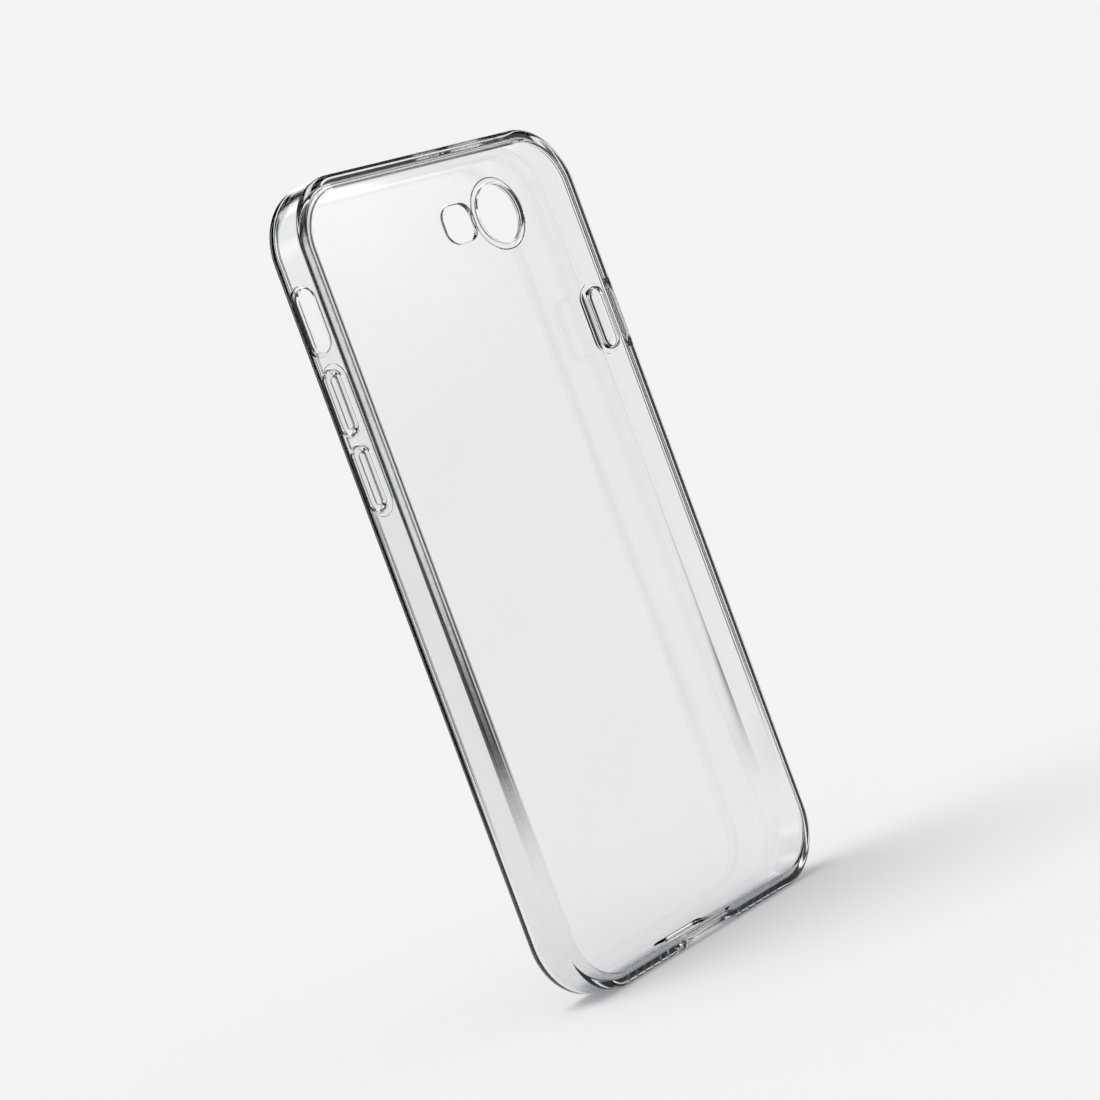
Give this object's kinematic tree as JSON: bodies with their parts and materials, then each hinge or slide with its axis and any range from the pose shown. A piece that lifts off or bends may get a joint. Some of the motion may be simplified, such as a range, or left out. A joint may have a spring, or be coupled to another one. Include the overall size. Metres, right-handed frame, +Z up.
{
  "type": "phone case",
  "caption": "Clear flexible phone case: thin shell with screen lip, camera and flash openings, mute window, port window, sound holes and pressable button covers.",
  "frame": {"origin": "centre of the case's outline at the foot of the bottom wall", "axes": "+Z up the length to the camera end, -Y out of the open screen side, +Y out of the back, +X to the side-button and camera side"},
  "size_m": [0.0712, 0.0098, 0.1415],
  "materials": {
    "clear_shell": "clear, glossy, slightly soft",
    "clear_cover": "clear, glossy, slightly soft"
  },
  "bodies": {
    "lower_shell": {"back_panel_lower": "clear_shell", "side_wall_left_lower": "clear_shell", "side_wall_right_lower": "clear_shell", "corner_bottom_left": "clear_shell", "corner_bottom_right": "clear_shell", "bottom_wall": "clear_shell", "screen_lip_lower": "clear_shell"},
    "upper_shell": {"back_panel_upper": "clear_shell", "side_wall_left_upper": "clear_shell", "side_wall_right_upper": "clear_shell", "corner_top_left": "clear_shell", "corner_top_right": "clear_shell", "top_wall": "clear_shell", "screen_lip_upper": "clear_shell", "camera_ring": "clear_shell"},
    "volume_up": {"volume_up_cover": "clear_cover"},
    "volume_down": {"volume_down_cover": "clear_cover"},
    "side_button": {"side_button_cover": "clear_cover"}
  },
  "joints": [
    {"name": "shell_bend", "type": "hinge", "parent": "lower_shell", "child": "upper_shell", "pos_m": [0, 0.00445, 0.05], "axis": [-1, 0, 0], "range_deg": [0, 90], "stiffness_Nm_per_rad": 0.18},
    {"name": "volume_up_press", "type": "slide", "parent": "upper_shell", "child": "volume_up", "axis": [1, 0, 0], "range_m": [0, 0.0004], "stiffness_N_per_m": 1500},
    {"name": "volume_down_press", "type": "slide", "parent": "upper_shell", "child": "volume_down", "axis": [1, 0, 0], "range_m": [0, 0.0004], "stiffness_N_per_m": 1500},
    {"name": "side_button_press", "type": "slide", "parent": "upper_shell", "child": "side_button", "axis": [-1, 0, 0], "range_m": [0, 0.0004], "stiffness_N_per_m": 1500}
  ]
}
